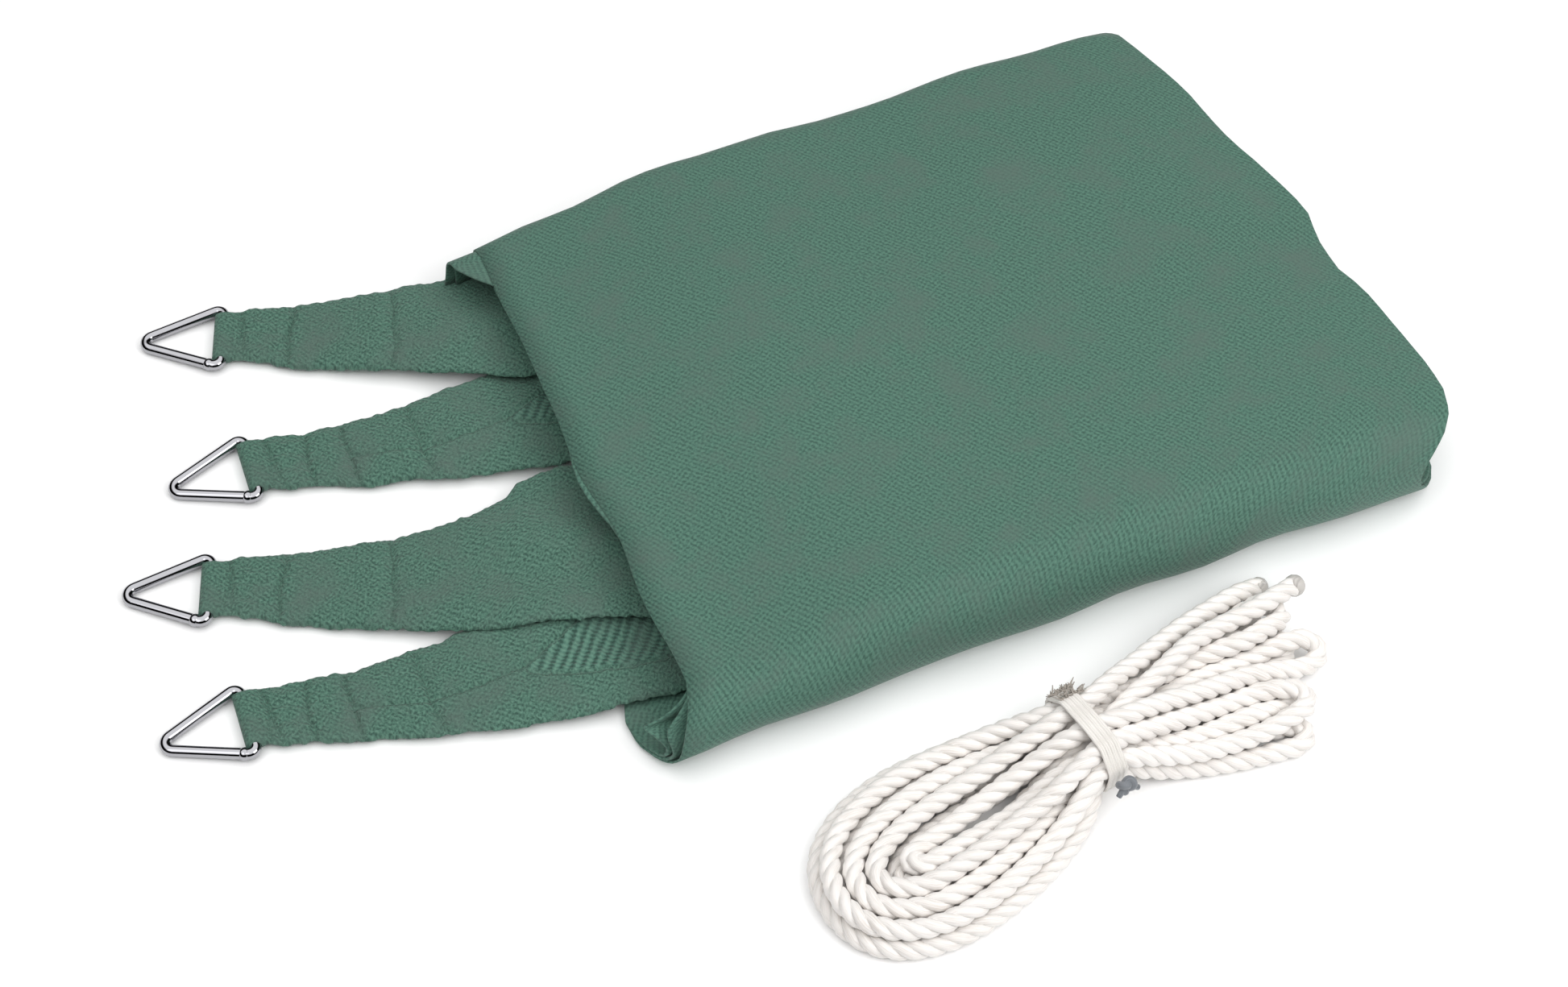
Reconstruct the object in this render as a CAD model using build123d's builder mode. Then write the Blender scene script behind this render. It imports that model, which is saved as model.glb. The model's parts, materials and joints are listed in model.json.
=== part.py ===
"""A knitted shade sail folded flat into a pack, its four ringed corners laid out to the left, and the hank
of hanging rope that lies beside it. Millimetres, +Z up.

The origin is the centre of the pack's underside. +X runs along the pack, away from the corners. +Y runs
across it, away from the rope.
"""

import os
from collections import namedtuple
from math import asin, atan2, cos, degrees, radians, sin, tan

from build123d import *

# The folded pack: an outer wrap over the top, round the front edge and back underneath, and the folds in it.
pack_length = 360.0
pack_width = 292.0
pack_height = 46.0
wrap_thickness = 6.0
fold_gap = 0.3
mouth_depth = 25.0
right_setback = 9.0
back_setback = 4.0
corner_round = 12.0
# How far the pack's right end stands out past its length, at stations across the pack from front to back.
right_end = ((-0.46, -14.0), (-0.28, 10.0), (-0.09, -4.0), (0.04, 0.0), (0.25, -16.0), (0.48, -30.0))
left_skew = 8.0

# Bent wire triangle rings. The bends are given at the wire's inner side.
wire_diameter = 5.0
ring_base = 36.0
ring_height = 41.0
base_inner_bend = 0.5
apex_inner_bend = 1.5
pin_clearance = 0.1

# Sewn corners: the sail's own corner, with a patch folded round the ring's base bar.
web_thickness = 2.6
patch_thickness = 1.4
patch_length = 70.0
tunnel_side_gap = 0.6
web_inset = 2.5
neck_clearance = 1.0
neck_taper = 3.0
web_start_gap = 0.3

# One corner: the bar lies `reach` left of the pack's edge and at the share `across` of its width from its
# middle. The tab heads to the pack at `heading` degrees and enters it `rise` above the wrap's bottom layer.
# `edges` are its far and near half widths at the stations `edge_stations` along the tab from the bar.
Corner = namedtuple("Corner", "reach across heading rise edges")
edge_stations = (45.0, 80.0, 130.0, 260.0)
upper_edges = ((18.0, -23.0), (21.0, -27.0), (30.0, -36.0), (44.0, -38.0))
lower_edges = ((10.0, -26.0), (11.5, -35.0), (14.0, -45.0), (18.0, -52.0))
corners = (
    Corner(118.0, 0.52, -19.0, 11.0, upper_edges),
    Corner(127.0, 0.25, -3.0, 3.5, lower_edges),
    Corner(162.5, 0.05, -19.0, 11.0, upper_edges),
    Corner(166.0, -0.195, -3.0, 3.5, lower_edges),
)

# The rope hank, tied at its waist. Sections along its axis: place, sideways shift, width, height.
hank_along = -35.0
hank_standoff = 60.0
hank_heading = 10.4
waist_width = 42.0
waist_height = 37.0
tie_width = 10.0
tie_thickness = 1.6
tie_gap = 0.2
knot_diameter = 9.0
left_lobe = ((-60.0, -2.0, 70.0, 36.0), (-98.0, -3.0, 75.0, 30.0), (-130.0, -7.0, 44.0, 20.0))
right_lobe = ((46.0, -5.0, 62.0, 40.0), (78.0, -9.0, 76.0, 38.0), (104.0, 0.0, 56.0, 32.0), (122.0, 9.0, 32.0, 26.0))

pack_left = -pack_length / 2
pack_right = pack_length / 2
pack_front = -pack_width / 2
pack_back = pack_width / 2
inner_left = pack_left + mouth_depth
wire_radius = wire_diameter / 2
tunnel_radius = wire_radius + pin_clearance
loop_radius = tunnel_radius + patch_thickness
bar_height = loop_radius
base_corner_radius = wire_radius + base_inner_bend
apex_radius = wire_radius + apex_inner_bend
half_apex = atan2(ring_base / 2, ring_height)
straight_bar = ring_base - 2 * base_corner_radius / tan((radians(90) - half_apex) / 2)
tunnel_width = straight_bar - 2 * tunnel_side_gap
web_ring_width = ring_base - 2 * web_inset
neck_length = loop_radius + neck_clearance
far = 4 * pack_length


def unit(heading: float, pitch: float) -> tuple:
    """The direction at a heading in the floor's plane, pitched up from it. Degrees."""
    h, p = radians(heading), radians(pitch)
    return cos(h) * cos(p), sin(h) * cos(p), sin(p)


def corner_plane(corner: Corner, pitch: float) -> Plane:
    """A corner's plane: its origin on the bar's middle, x towards the pack, y along the bar."""
    origin = (pack_left - corner.reach, corner.across * pack_width, bar_height)
    return Plane(origin=origin, x_dir=unit(corner.heading, pitch), z_dir=unit(corner.heading, pitch + 90))


def tab_pitch(corner: Corner) -> float:
    """How steeply a tab climbs from its bar to the mouth of the pack."""
    return degrees(atan2(wrap_thickness + corner.rise - bar_height, corner.reach))


def pack_outline(setback_left: float, setback_right: float, setback_back: float) -> list:
    """The pack's outline from above, as corners, set back from its ends and its back."""
    right = [(pack_right + out - setback_right, share * pack_width) for share, out in right_end]
    right[-1] = (right[-1][0], pack_back - setback_back)
    left_front = (pack_left - left_skew + setback_left, pack_front)
    left_back = (pack_left + setback_left, pack_back - 2 * left_skew - setback_back)
    return [left_front, (right[0][0] - corner_round, pack_front), *right, left_back]


def outer_wrap() -> Part:
    """The outermost layers: over the top, round the front edge and back underneath."""
    inner_radius = pack_height / 2 - wrap_thickness
    with BuildPart() as wrap:
        with BuildSketch(Plane.YZ.offset(-pack_length)):
            with Locations((0, pack_height / 2)):
                Rectangle(pack_width - pack_height, pack_height)
            with Locations((pack_front + pack_height / 2, pack_height / 2)):
                Circle(pack_height / 2)
            with Locations((pack_back - pack_height / 2, pack_height / 2)):
                Rectangle(pack_height, pack_height)
            with Locations((pack_front + pack_height / 2, pack_height / 2)):
                Circle(inner_radius, mode=Mode.SUBTRACT)
            with Locations((pack_height / 2, pack_height / 2)):
                Rectangle(pack_width, 2 * inner_radius, mode=Mode.SUBTRACT)
        extrude(amount=2 * pack_length)
        with BuildSketch(Plane.XY):
            Polygon(*pack_outline(0, 0, 0), align=None)
            fillet(vertices(), corner_round)
        extrude(amount=pack_height, mode=Mode.INTERSECT)
    return wrap.part


def inner_folds() -> Part:
    """The folded layers that fill the wrap, set back from its ends."""
    radius = pack_height / 2 - wrap_thickness - fold_gap
    nose = pack_front + pack_height / 2
    with BuildPart() as folds:
        with BuildSketch(Plane.YZ.offset(-pack_length)):
            with Locations((nose, pack_height / 2)):
                Circle(radius)
            with Locations(((nose + pack_back) / 2, pack_height / 2)):
                Rectangle(pack_back - nose, 2 * radius)
        extrude(amount=2 * pack_length)
        with BuildSketch(Plane.XY):
            Polygon(*pack_outline(mouth_depth, right_setback, back_setback), align=None)
            with Locations((inner_left - pack_length / 2, 0)):
                Rectangle(pack_length, 2 * pack_width, mode=Mode.SUBTRACT)
        extrude(amount=pack_height, mode=Mode.INTERSECT)
    return folds.part


def tab_outline(corner: Corner, start: float, end: float) -> list:
    """A tab's outline in its own plane, from `start` to `end` along it: far edge, then near edge back."""
    stations = [(neck_length + neck_taper, web_ring_width / 2, -web_ring_width / 2)]
    stations += [(at, *edge) for at, edge in zip(edge_stations, corner.edges)]
    kept = [s for s in stations if s[0] < end]
    before, after = stations[len(kept) - 1:len(kept) + 1] if len(kept) < len(stations) else stations[-2:]
    share = (end - before[0]) / (after[0] - before[0])
    kept.append((end, *(a + share * (b - a) for a, b in zip(before[1:], after[1:]))))
    neck = [(start, tunnel_width / 2), (neck_length, tunnel_width / 2)]
    far_edge = [(at, high) for at, high, _ in kept]
    near_edge = [(at, low) for at, _, low in reversed(kept)]
    return neck + far_edge + near_edge + [(x, -y) for x, y in reversed(neck)]


def corner_web(corner: Corner) -> Part:
    """The sail's own corner, from just behind the bar to the folds in the pack."""
    plane = corner_plane(corner, tab_pitch(corner))
    with BuildPart() as web:
        with BuildSketch(plane.offset(-web_thickness / 2)):
            outline = tab_outline(corner, loop_radius + web_start_gap, corner.reach + 2 * mouth_depth + 30)
            Polygon(*outline, align=None)
        extrude(amount=web_thickness)
        split(bisect_by=Plane((inner_left, 0, 0), z_dir=(1, 0, 0)), keep=Keep.BOTTOM)
    return web.part


def corner_patch(corner: Corner) -> Part:
    """The patch that folds round the bar and is sewn to both faces of the web."""
    plane = corner_plane(corner, tab_pitch(corner))
    side = Plane(origin=plane.origin, x_dir=plane.x_dir, z_dir=-plane.y_dir)
    outer = web_thickness + 2 * patch_thickness
    with BuildPart() as patch:
        with BuildSketch(side):
            Circle(loop_radius)
            with Locations((patch_length / 2, 0)):
                Rectangle(patch_length, outer)
            with Locations((patch_length / 2 + loop_radius, 0)):
                Rectangle(patch_length, web_thickness, mode=Mode.SUBTRACT)
            Circle(tunnel_radius, mode=Mode.SUBTRACT)
        extrude(amount=pack_width, both=True)
        with BuildSketch(plane.offset(-pack_height)):
            Polygon(*tab_outline(corner, -2 * loop_radius, patch_length), align=None)
        extrude(amount=2 * pack_height, mode=Mode.INTERSECT)
    return patch.part


def triangle_ring(corner: Corner) -> Part:
    """A ring of round wire, its base bar through the patch and its nose resting on the floor."""
    nose = ring_height - apex_radius / sin(half_apex) + apex_radius
    plane = corner_plane(corner, degrees(asin((bar_height - wire_radius) / nose)))
    with BuildPart() as ring:
        with BuildLine(plane) as wire:
            radii = (base_corner_radius, base_corner_radius, apex_radius)
            FilletPolyline((0, -ring_base / 2), (0, ring_base / 2), (-ring_height, 0), radius=radii, close=True)
        with BuildSketch(Plane(origin=wire.line @ 0, z_dir=wire.line % 0)):
            Circle(wire_radius)
        sweep(path=wire.line)
    return ring.part


hank_origin = (hank_along, pack_front - hank_standoff, 0)
hank_plane = Plane(origin=hank_origin, x_dir=unit(hank_heading, 0), z_dir=(0, 0, 1))
waist_lift = tie_thickness + tie_gap


def section_plane(at: float, shift: float, height: float, lift: float = 0.0) -> Plane:
    """The plane of one upright section of the hank, `lift` off the floor."""
    origin = hank_plane.from_local_coords((at, shift, lift + height / 2))
    return Plane(origin=origin, x_dir=hank_plane.y_dir, z_dir=hank_plane.x_dir)


def rope_hank() -> Part:
    """The outer shape of the hank: two loose lobes and the waist between them."""
    half_tie = tie_width / 2 + tie_gap
    with BuildPart() as hank:
        for side, lobe in ((-1, left_lobe), (1, right_lobe)):
            with BuildSketch(section_plane(side * half_tie, 0, waist_height, waist_lift)):
                Ellipse(waist_width / 2, waist_height / 2)
            for at, shift, width, height in lobe:
                with BuildSketch(section_plane(at, shift, height)):
                    Ellipse(width / 2, height / 2)
            loft()
        with BuildSketch(section_plane(-half_tie, 0, waist_height, waist_lift)):
            Ellipse(waist_width / 2, waist_height / 2)
        extrude(amount=2 * half_tie)
        with BuildSketch(Plane.XY.offset(-pack_height)):
            Rectangle(far, far)
        extrude(amount=pack_height, mode=Mode.SUBTRACT)
    return hank.part


def hank_tie() -> Part:
    """The band wound round the waist."""
    with BuildPart() as tie:
        for grown, lift, mode in (
            (tie_gap + tie_thickness, 0.0, Mode.ADD),
            (tie_gap, tie_thickness, Mode.SUBTRACT),
        ):
            with BuildSketch(section_plane(-tie_width / 2, 0, waist_height + 2 * grown, lift)):
                Ellipse(waist_width / 2 + grown, waist_height / 2 + grown)
            extrude(amount=tie_width, mode=mode)
    return tie.part


def tie_knot() -> Part:
    """The knot that closes the band, on its near side."""
    out = waist_width / 2 + 2 * tie_gap + tie_thickness + knot_diameter / 2
    middle = waist_lift + waist_height / 2
    centre = hank_plane.from_local_coords((0, -out, middle))
    with BuildPart() as knot:
        with BuildSketch(Plane(origin=centre, x_dir=hank_plane.x_dir, z_dir=hank_plane.y_dir)):
            with BuildLine():
                RadiusArc((0, -knot_diameter / 2), (0, knot_diameter / 2), knot_diameter / 2)
                Line((0, -knot_diameter / 2), (0, knot_diameter / 2))
            make_face()
        revolve(axis=Axis(centre, (0, 0, 1)))
    return knot.part


def save(part: Part, name: str) -> None:
    """Labels a piece and writes its file."""
    part.label = name
    export_step(part, f"parts/{name}.step")


os.makedirs("parts", exist_ok=True)
save(outer_wrap(), "sail_outer_wrap")
save(inner_folds(), "sail_inner_folds")
for number, corner in enumerate(corners, 1):
    save(corner_web(corner), f"corner_web_{number}")
    save(corner_patch(corner), f"corner_patch_{number}")
    save(triangle_ring(corner), f"triangle_ring_{number}")
save(rope_hank(), "rope_hank")
save(hank_tie(), "hank_tie")
save(tie_knot(), "tie_knot")
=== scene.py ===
"""A knitted shade sail folded into a pack, its four ringed corners and a tied hank of rope: the looks.

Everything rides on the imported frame. Fields are in millimetres and meshes in metres, in the frame's axes.
"""

import json
import logging
import math
from dataclasses import dataclass, field
from enum import Enum

import bpy
import numpy as np
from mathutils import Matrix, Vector


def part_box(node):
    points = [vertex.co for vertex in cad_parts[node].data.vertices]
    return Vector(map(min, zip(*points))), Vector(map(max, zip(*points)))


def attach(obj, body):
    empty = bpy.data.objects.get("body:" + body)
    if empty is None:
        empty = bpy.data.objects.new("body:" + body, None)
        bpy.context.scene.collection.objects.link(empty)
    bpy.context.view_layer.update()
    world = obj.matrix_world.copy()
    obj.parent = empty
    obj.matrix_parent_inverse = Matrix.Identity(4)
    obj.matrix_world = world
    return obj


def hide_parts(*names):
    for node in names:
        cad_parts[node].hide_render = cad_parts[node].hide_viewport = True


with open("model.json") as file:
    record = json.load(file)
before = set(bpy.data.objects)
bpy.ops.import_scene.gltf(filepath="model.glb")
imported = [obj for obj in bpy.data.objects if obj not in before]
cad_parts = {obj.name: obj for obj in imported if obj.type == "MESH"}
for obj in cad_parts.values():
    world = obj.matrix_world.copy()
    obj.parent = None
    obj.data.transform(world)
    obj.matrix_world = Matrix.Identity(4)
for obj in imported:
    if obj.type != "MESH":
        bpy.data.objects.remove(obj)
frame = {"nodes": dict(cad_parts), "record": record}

MM = 0.001
PER_METRE = 1000
WAVE_PERIOD = 2 * math.pi / 20  # the wave texture's scale for one band a unit
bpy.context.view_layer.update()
log = logging.getLogger("shade_sail")
Skin = tuple[np.ndarray, list, np.ndarray]  # points in mm, faces, and flat places in metres


# ---------------------------------------------------------------- small helpers

def linear(hexcode: str) -> tuple[float, float, float, float]:
    """Turns an sRGB hex colour to a linear colour.

    Args:
        hexcode: The colour, such as "#5b8270".

    Returns:
        Linear red, green, blue and an alpha of 1.
    """
    parts = [int(hexcode[i:i + 2], 16) / 255 for i in (1, 3, 5)]
    return (*(c / 12.92 if c <= 0.04045 else ((c + 0.055) / 1.055) ** 2.4 for c in parts), 1.0)


def add(
    tree: bpy.types.NodeTree, kind: str, settings: dict | None = None, **inputs: object
) -> bpy.types.Node:
    """Adds a node, with its settings, input values and links.

    Args:
        tree: The tree that gets the node.
        kind: The node's type.
        settings: Attributes of the node.
        **inputs: Values or sockets by input name, with _ for a space, or in0, in1 by place.

    Returns:
        The new node.
    """
    made = tree.nodes.new(kind)
    for key, value in (settings or {}).items():
        setattr(made, key, value)
    for key, value in inputs.items():
        by_place = key[:2] == "in" and key[2:].isdigit()
        socket = made.inputs[int(key[2:]) if by_place else key.replace("_", " ")]
        if isinstance(value, bpy.types.NodeSocket):
            tree.links.new(value, socket)
        else:
            socket.default_value = value
    return made


def ramp(
    tree: bpy.types.NodeTree, factor: bpy.types.NodeSocket, *stops: tuple[float, str]
) -> bpy.types.NodeSocket:
    """Adds a colour ramp.

    Args:
        tree: The tree that gets it.
        factor: What drives it.
        *stops: Each place and its hex colour.

    Returns:
        The ramp's colour.
    """
    made = add(tree, "ShaderNodeValToRGB", Fac=factor)
    elements = made.color_ramp.elements
    while len(elements) < len(stops):
        elements.new(0.5)
    for element, (place, colour) in zip(elements, stops):
        element.position = place
        element.color = linear(colour)
    return made.outputs["Color"]


def new_material(name: str) -> tuple[bpy.types.Material, bpy.types.NodeTree]:
    """Makes a material with an empty node tree.

    Args:
        name: The material's name.

    Returns:
        The material and its tree.
    """
    made = bpy.data.materials.new(name)
    made.use_nodes = True
    made.node_tree.nodes.clear()
    return made, made.node_tree


def box_of(node: str) -> tuple[np.ndarray, np.ndarray]:
    """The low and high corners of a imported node's box, mm."""
    low, high = (np.array(corner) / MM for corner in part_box(node))
    return low, high


def smooth_step(x: np.ndarray) -> np.ndarray:
    """A smooth rise from 0 to 1 as x goes from 0 to 1."""
    x = np.clip(x, 0.0, 1.0)
    return x * x * (3 - 2 * x)


@dataclass(frozen=True)
class Ripple:
    """A smooth random surface, the sum of a few waves.

    Attributes:
        seed: Sets the waves.
        longest: The longest wave, mm.
        shortest: The shortest wave, mm.
        waves: How many there are.
    """

    seed: int
    longest: float
    shortest: float
    waves: int = 7

    def __call__(self, x: np.ndarray, y: np.ndarray) -> np.ndarray:
        """The height at x, y, mostly between -1 and 1."""
        rng = np.random.default_rng(self.seed)
        total = np.zeros(np.broadcast(x, y).shape)
        for _ in range(self.waves):
            number = 2 * math.pi / rng.uniform(self.shortest, self.longest)
            turn = rng.uniform(0, 2 * math.pi)
            phase = rng.uniform(0, 2 * math.pi)
            total += np.sin(number * (x * math.cos(turn) + y * math.sin(turn)) + phase)
        return total / math.sqrt(self.waves)


def build_mesh(
    name: str, verts: np.ndarray, faces: list | np.ndarray, dress: bpy.types.Material, uv: np.ndarray
) -> bpy.types.Object:
    """Makes a smooth mesh object at the origin, with its faces pointing outwards.

    Args:
        name: The object's name.
        verts: Points, one a row, mm.
        faces: The faces' point numbers.
        dress: Its material.
        uv: A flat place for each point, in metres.

    Returns:
        The object.
    """
    verts = np.asarray(verts, float) * MM
    mesh = bpy.data.meshes.new(name)
    mesh.from_pydata(verts.tolist(), [], [tuple(map(int, f)) for f in faces])
    mesh.validate()
    triangles = np.array([[f[0], f[i], f[i + 1]] for f in faces for i in range(1, len(f) - 1)])
    a, b, c = (verts[triangles[:, k]] for k in range(3))
    if np.einsum("ij,ij->i", a, np.cross(b, c)).sum() < 0:
        mesh.flip_normals()
    layer = mesh.uv_layers.new(name="flat")
    corners = np.zeros(len(mesh.loops), dtype=np.int32)
    mesh.loops.foreach_get("vertex_index", corners)
    layer.data.foreach_set("uv", np.asarray(uv, float)[corners].ravel())
    mesh.polygons.foreach_set("use_smooth", np.ones(len(mesh.polygons), dtype=bool))
    mesh.materials.append(dress)
    made = bpy.data.objects.new(name, mesh)
    bpy.context.scene.collection.objects.link(made)
    return made


def closed_sheet(outer: np.ndarray, inner: np.ndarray) -> tuple[np.ndarray, list]:
    """Joins two grids of points into one closed sheet.

    Args:
        outer: One face's points, rows by columns by 3.
        inner: The other face's.

    Returns:
        The points, one a row, and the faces.
    """
    rows, cols = outer.shape[:2]
    n = rows * cols
    index = np.arange(n).reshape(rows, cols)
    quads = np.stack([index[:-1, :-1], index[1:, :-1], index[1:, 1:], index[:-1, 1:]], -1).reshape(-1, 4)
    faces = [quads, quads[:, ::-1] + n]
    for line, back in ((index[0], 0), (index[-1], 1), (index[:, 0], 1), (index[:, -1], 0)):
        side = np.stack([line[:-1], line[1:], line[1:] + n, line[:-1] + n], -1)
        faces.append(side[:, ::-1] if back else side)
    return np.concatenate([outer.reshape(-1, 3), inner.reshape(-1, 3)]), np.concatenate(faces)


def thicken(middle: np.ndarray, half: np.ndarray | float) -> tuple[np.ndarray, np.ndarray]:
    """Offsets a grid of points both ways along its normals.

    Args:
        middle: The grid, rows by columns by 3.
        half: How far each way.

    Returns:
        The two faces.
    """
    normal = np.cross(np.gradient(middle, axis=0), np.gradient(middle, axis=1))
    normal /= np.maximum(np.linalg.norm(normal, axis=-1, keepdims=True), 1e-9)
    half = np.asarray(half)[..., None] if np.ndim(half) else half
    return middle + normal * half, middle - normal * half


def run_along(path: np.ndarray) -> np.ndarray:
    """How far along a path each of its points is."""
    return np.concatenate([[0], np.cumsum(np.linalg.norm(np.diff(path, axis=0), axis=1))])


def evenly(path: np.ndarray, count: int) -> np.ndarray:
    """The path again, with a number of points at even steps along it."""
    run = run_along(path)
    even = np.linspace(0, run[-1], count)
    return np.stack([np.interp(even, run, path[:, k]) for k in range(3)], -1)


def frames_along(path: np.ndarray, closed: bool = False) -> tuple[np.ndarray, np.ndarray]:
    """Two cross directions at each point of a path, carried along it without twist.

    Args:
        path: The points, one a row.
        closed: Whether the last point joins the first.

    Returns:
        The two directions, one a row.
    """
    ahead = np.roll(path, -1, 0) - np.roll(path, 1, 0) if closed else np.gradient(path, axis=0)
    ahead /= np.linalg.norm(ahead, axis=1, keepdims=True)
    side = np.zeros_like(path)
    start = np.cross(ahead[0], (0.0, 0.0, 1.0))
    side[0] = start / np.linalg.norm(start)
    for i in range(1, len(path)):
        kept = side[i - 1] - ahead[i] * (side[i - 1] @ ahead[i])
        side[i] = kept / np.linalg.norm(kept)
    return side, np.cross(ahead, side)


def tube(path: np.ndarray, radius: np.ndarray | float, sides: int, closed: bool = False) -> Skin:
    """A round tube along a path, its ends closed with a point.

    Args:
        path: The points, one a row, mm.
        radius: Its radius, or one for each point.
        sides: How many sides it has.
        closed: Whether it joins up with itself.

    Returns:
        Its points, faces and flat places in metres.
    """
    side, up = frames_along(path, closed)
    radius = np.broadcast_to(radius, len(path))
    turn = np.linspace(0, 2 * math.pi, sides, endpoint=False)
    ring = side[:, None] * np.cos(turn)[None, :, None] + up[:, None] * np.sin(turn)[None, :, None]
    points = (path[:, None] + ring * radius[:, None, None]).reshape(-1, 3)
    rows = len(path)
    last = rows if closed else rows - 1
    index = np.arange(rows * sides).reshape(rows, sides)
    after = np.roll(index, -1, 0)[:last]
    now = index[:last]
    faces = np.stack([now, np.roll(now, -1, 1), np.roll(after, -1, 1), after], -1).reshape(-1, 4).tolist()
    run = run_along(path)
    around = np.abs(turn / math.pi - 1) * math.pi * radius[:, None]
    uv = np.stack(np.broadcast_arrays(run[:, None] * MM, around * MM), -1).reshape(-1, 2)
    if not closed:
        points = np.concatenate([points, path[:1], path[-1:]])
        uv = np.concatenate([uv, [[0, 0]], [[run[-1] * MM, 0]]])
        tip = rows * sides
        faces += [(int(index[0, (k + 1) % sides]), int(index[0, k]), tip) for k in range(sides)]
        faces += [(int(index[-1, k]), int(index[-1, (k + 1) % sides]), tip + 1) for k in range(sides)]
    return points, faces, uv


def merged(parts: list[Skin]) -> Skin:
    """Puts several meshes in one list of points and faces.

    Args:
        parts: Each one's points, faces and flat places.

    Returns:
        The points, faces and flat places of all.
    """
    points, faces, uv, count = [], [], [], 0
    for p, f, w in parts:
        faces += [tuple(int(i) + count for i in face) for face in f]
        points.append(p)
        uv.append(w)
        count += len(p)
    return np.concatenate(points), faces, np.concatenate(uv)


# ---------------------------------------------------------------- finishes

@dataclass(frozen=True)
class KnitCloth:
    """Knitted polyethylene tape: matte, with a faint sheen and slanting rows of small loops. Its colour
    carries painted shade in the holes between the loops and painted highlight on their tops.

    Attributes:
        name: The material's name.
        pit_shade: Painted shade in the holes between loops.
        body: Colour of the cloth.
        crest_highlight: Painted highlight on top of the loops.
        faded: The greyer colour that the cloth shows in patches.
        rows: How far apart the rows are, mm.
        row_turn: The way the rows run on the cloth, degrees.
        loops: How far apart the loops in a row are, mm.
        loop_turn: The way the loops lean, degrees.
        relief: Depth of the loops, mm.
        weave: Share of the even rows and loops in the relief.
        fleck: Share of uneven, towel-like grain in it.
        grain: Size of that grain, mm.
        loop_share: How high the loops stand against the rows.
        grain_height: How high the grain stands against the rows.
        contrast: How far the relief goes each way, from its middle to a hole or the top of a loop.
    """

    name: str
    pit_shade: str = "#3c5b50"
    body: str = "#4c7163"
    crest_highlight: str = "#587e6e"
    faded: str = "#576c63"
    rows: float = 2.1
    row_turn: float = 55.0
    loops: float = 1.9
    loop_turn: float = -28.0
    relief: float = 0.14
    weave: float = 0.7
    fleck: float = 1.4
    grain: float = 1.15
    loop_share: float = 0.55
    grain_height: float = 2.4
    contrast: float = 0.75

    def bands(
        self, tree: bpy.types.NodeTree, flat: bpy.types.NodeSocket, turn: float, pitch: float
    ) -> bpy.types.NodeSocket:
        """Adds even bands that run one way over the cloth.

        Args:
            tree: The tree that gets them.
            flat: The cloth's flat place, in metres.
            turn: The way that the bands run, degrees.
            pitch: How far apart they are, mm.

        Returns:
            The bands' height, from 0 to 1.
        """
        across = add(
            tree, "ShaderNodeMapping", Vector=flat, Rotation=(0, 0, -math.radians(turn)),
            Scale=(PER_METRE / pitch, PER_METRE / pitch, 1),
        ).outputs[0]
        return add(
            tree, "ShaderNodeTexWave", {"bands_direction": "Y"},
            Vector=across, Scale=WAVE_PERIOD, Distortion=2.2, Detail=2.0, Detail_Scale=0.5,
        ).outputs["Fac"]

    def material(self) -> bpy.types.Material:
        """Builds the material."""
        made, tree = new_material(self.name)
        flat = add(tree, "ShaderNodeUVMap", {"uv_map": "flat"}).outputs["UV"]
        rows = self.bands(tree, flat, self.row_turn, self.rows)
        loops = self.bands(tree, flat, self.loop_turn, self.loops)
        fine = add(
            tree, "ShaderNodeTexNoise", Vector=flat, Scale=PER_METRE / self.grain, Detail=2.0, Roughness=0.55
        ).outputs["Fac"]
        joined = {"operation": "MULTIPLY_ADD"}
        knit = add(tree, "ShaderNodeMath", joined, in0=loops, in1=self.loop_share, in2=rows).outputs[0]
        woven = add(tree, "ShaderNodeMath", {"operation": "MULTIPLY"}, in0=knit, in1=self.weave).outputs[0]
        grainy = self.grain_height * self.fleck
        height = add(tree, "ShaderNodeMath", joined, in0=fine, in1=grainy, in2=woven).outputs[0]
        middle = ((1 + self.loop_share) * self.weave + grainy) / 2
        level = add(
            tree, "ShaderNodeMapRange", Value=height,
            From_Min=middle - self.contrast, From_Max=middle + self.contrast,
        ).outputs[0]
        # The relief's height picks the colour: painted shade in the holes, the cloth's own colour between,
        # painted highlight on the tops of the loops.
        colour = ramp(tree, level, (0.08, self.pit_shade), (0.5, self.body), (0.92, self.crest_highlight))
        patches = add(
            tree, "ShaderNodeTexNoise", Vector=flat, Scale=34.0, Detail=5.0, Roughness=0.65
        ).outputs["Fac"]
        share = add(
            tree, "ShaderNodeMapRange", Value=patches, From_Min=0.47, From_Max=0.70, To_Max=0.75
        ).outputs[0]
        mixed = add(tree, "ShaderNodeMix", {"data_type": "RGBA"}, Factor=share)
        tree.links.new(colour, mixed.inputs[6])
        mixed.inputs[7].default_value = linear(self.faded)
        bump = add(tree, "ShaderNodeBump", Height=level, Strength=0.9, Distance=self.relief * MM).outputs[0]
        shader = add(
            tree, "ShaderNodeBsdfPrincipled", Base_Color=mixed.outputs[2], Roughness=0.75, Normal=bump,
            Sheen_Weight=0.12, Sheen_Roughness=0.5, IOR=1.5, Specular_IOR_Level=0.25,
        )
        add(tree, "ShaderNodeOutputMaterial", Surface=shader.outputs[0])
        return made


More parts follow.
